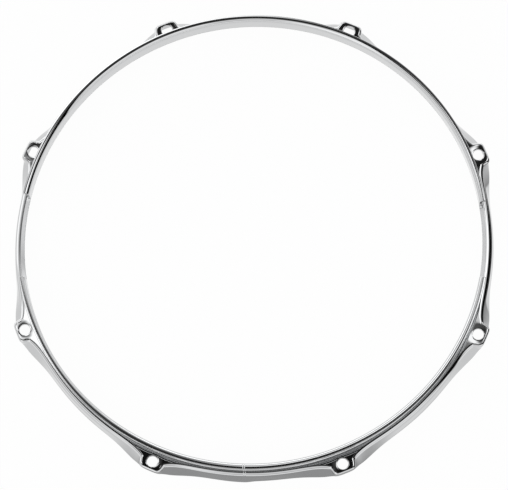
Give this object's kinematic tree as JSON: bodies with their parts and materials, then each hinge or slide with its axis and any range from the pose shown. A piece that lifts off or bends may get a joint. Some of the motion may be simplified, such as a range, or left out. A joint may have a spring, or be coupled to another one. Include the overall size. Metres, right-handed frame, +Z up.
{
  "type": "drum hoop",
  "caption": "Chromed pressed-steel hoop for the snare side of a drum, with a turned-out lip, rod-hole ears, a flared skirt and snare gates.",
  "frame": {"origin": "on the ring's axis, in the plane of the skirt's lower edge that the hoop rests on", "axes": "+Z up along the ring's axis, towards the turned-out lip; the snare gates lie on +X and -X; the weld is on the -Y side"},
  "size_m": [0.3812, 0.3821, 0.026],
  "materials": {
    "chrome": "bright chrome plate on steel",
    "weld_chrome": "bright chrome plate on the ground weld"
  },
  "bodies": {
    "root": {"hoop_strip": "chrome", "seam_weld": "weld_chrome"}
  },
  "joints": []
}
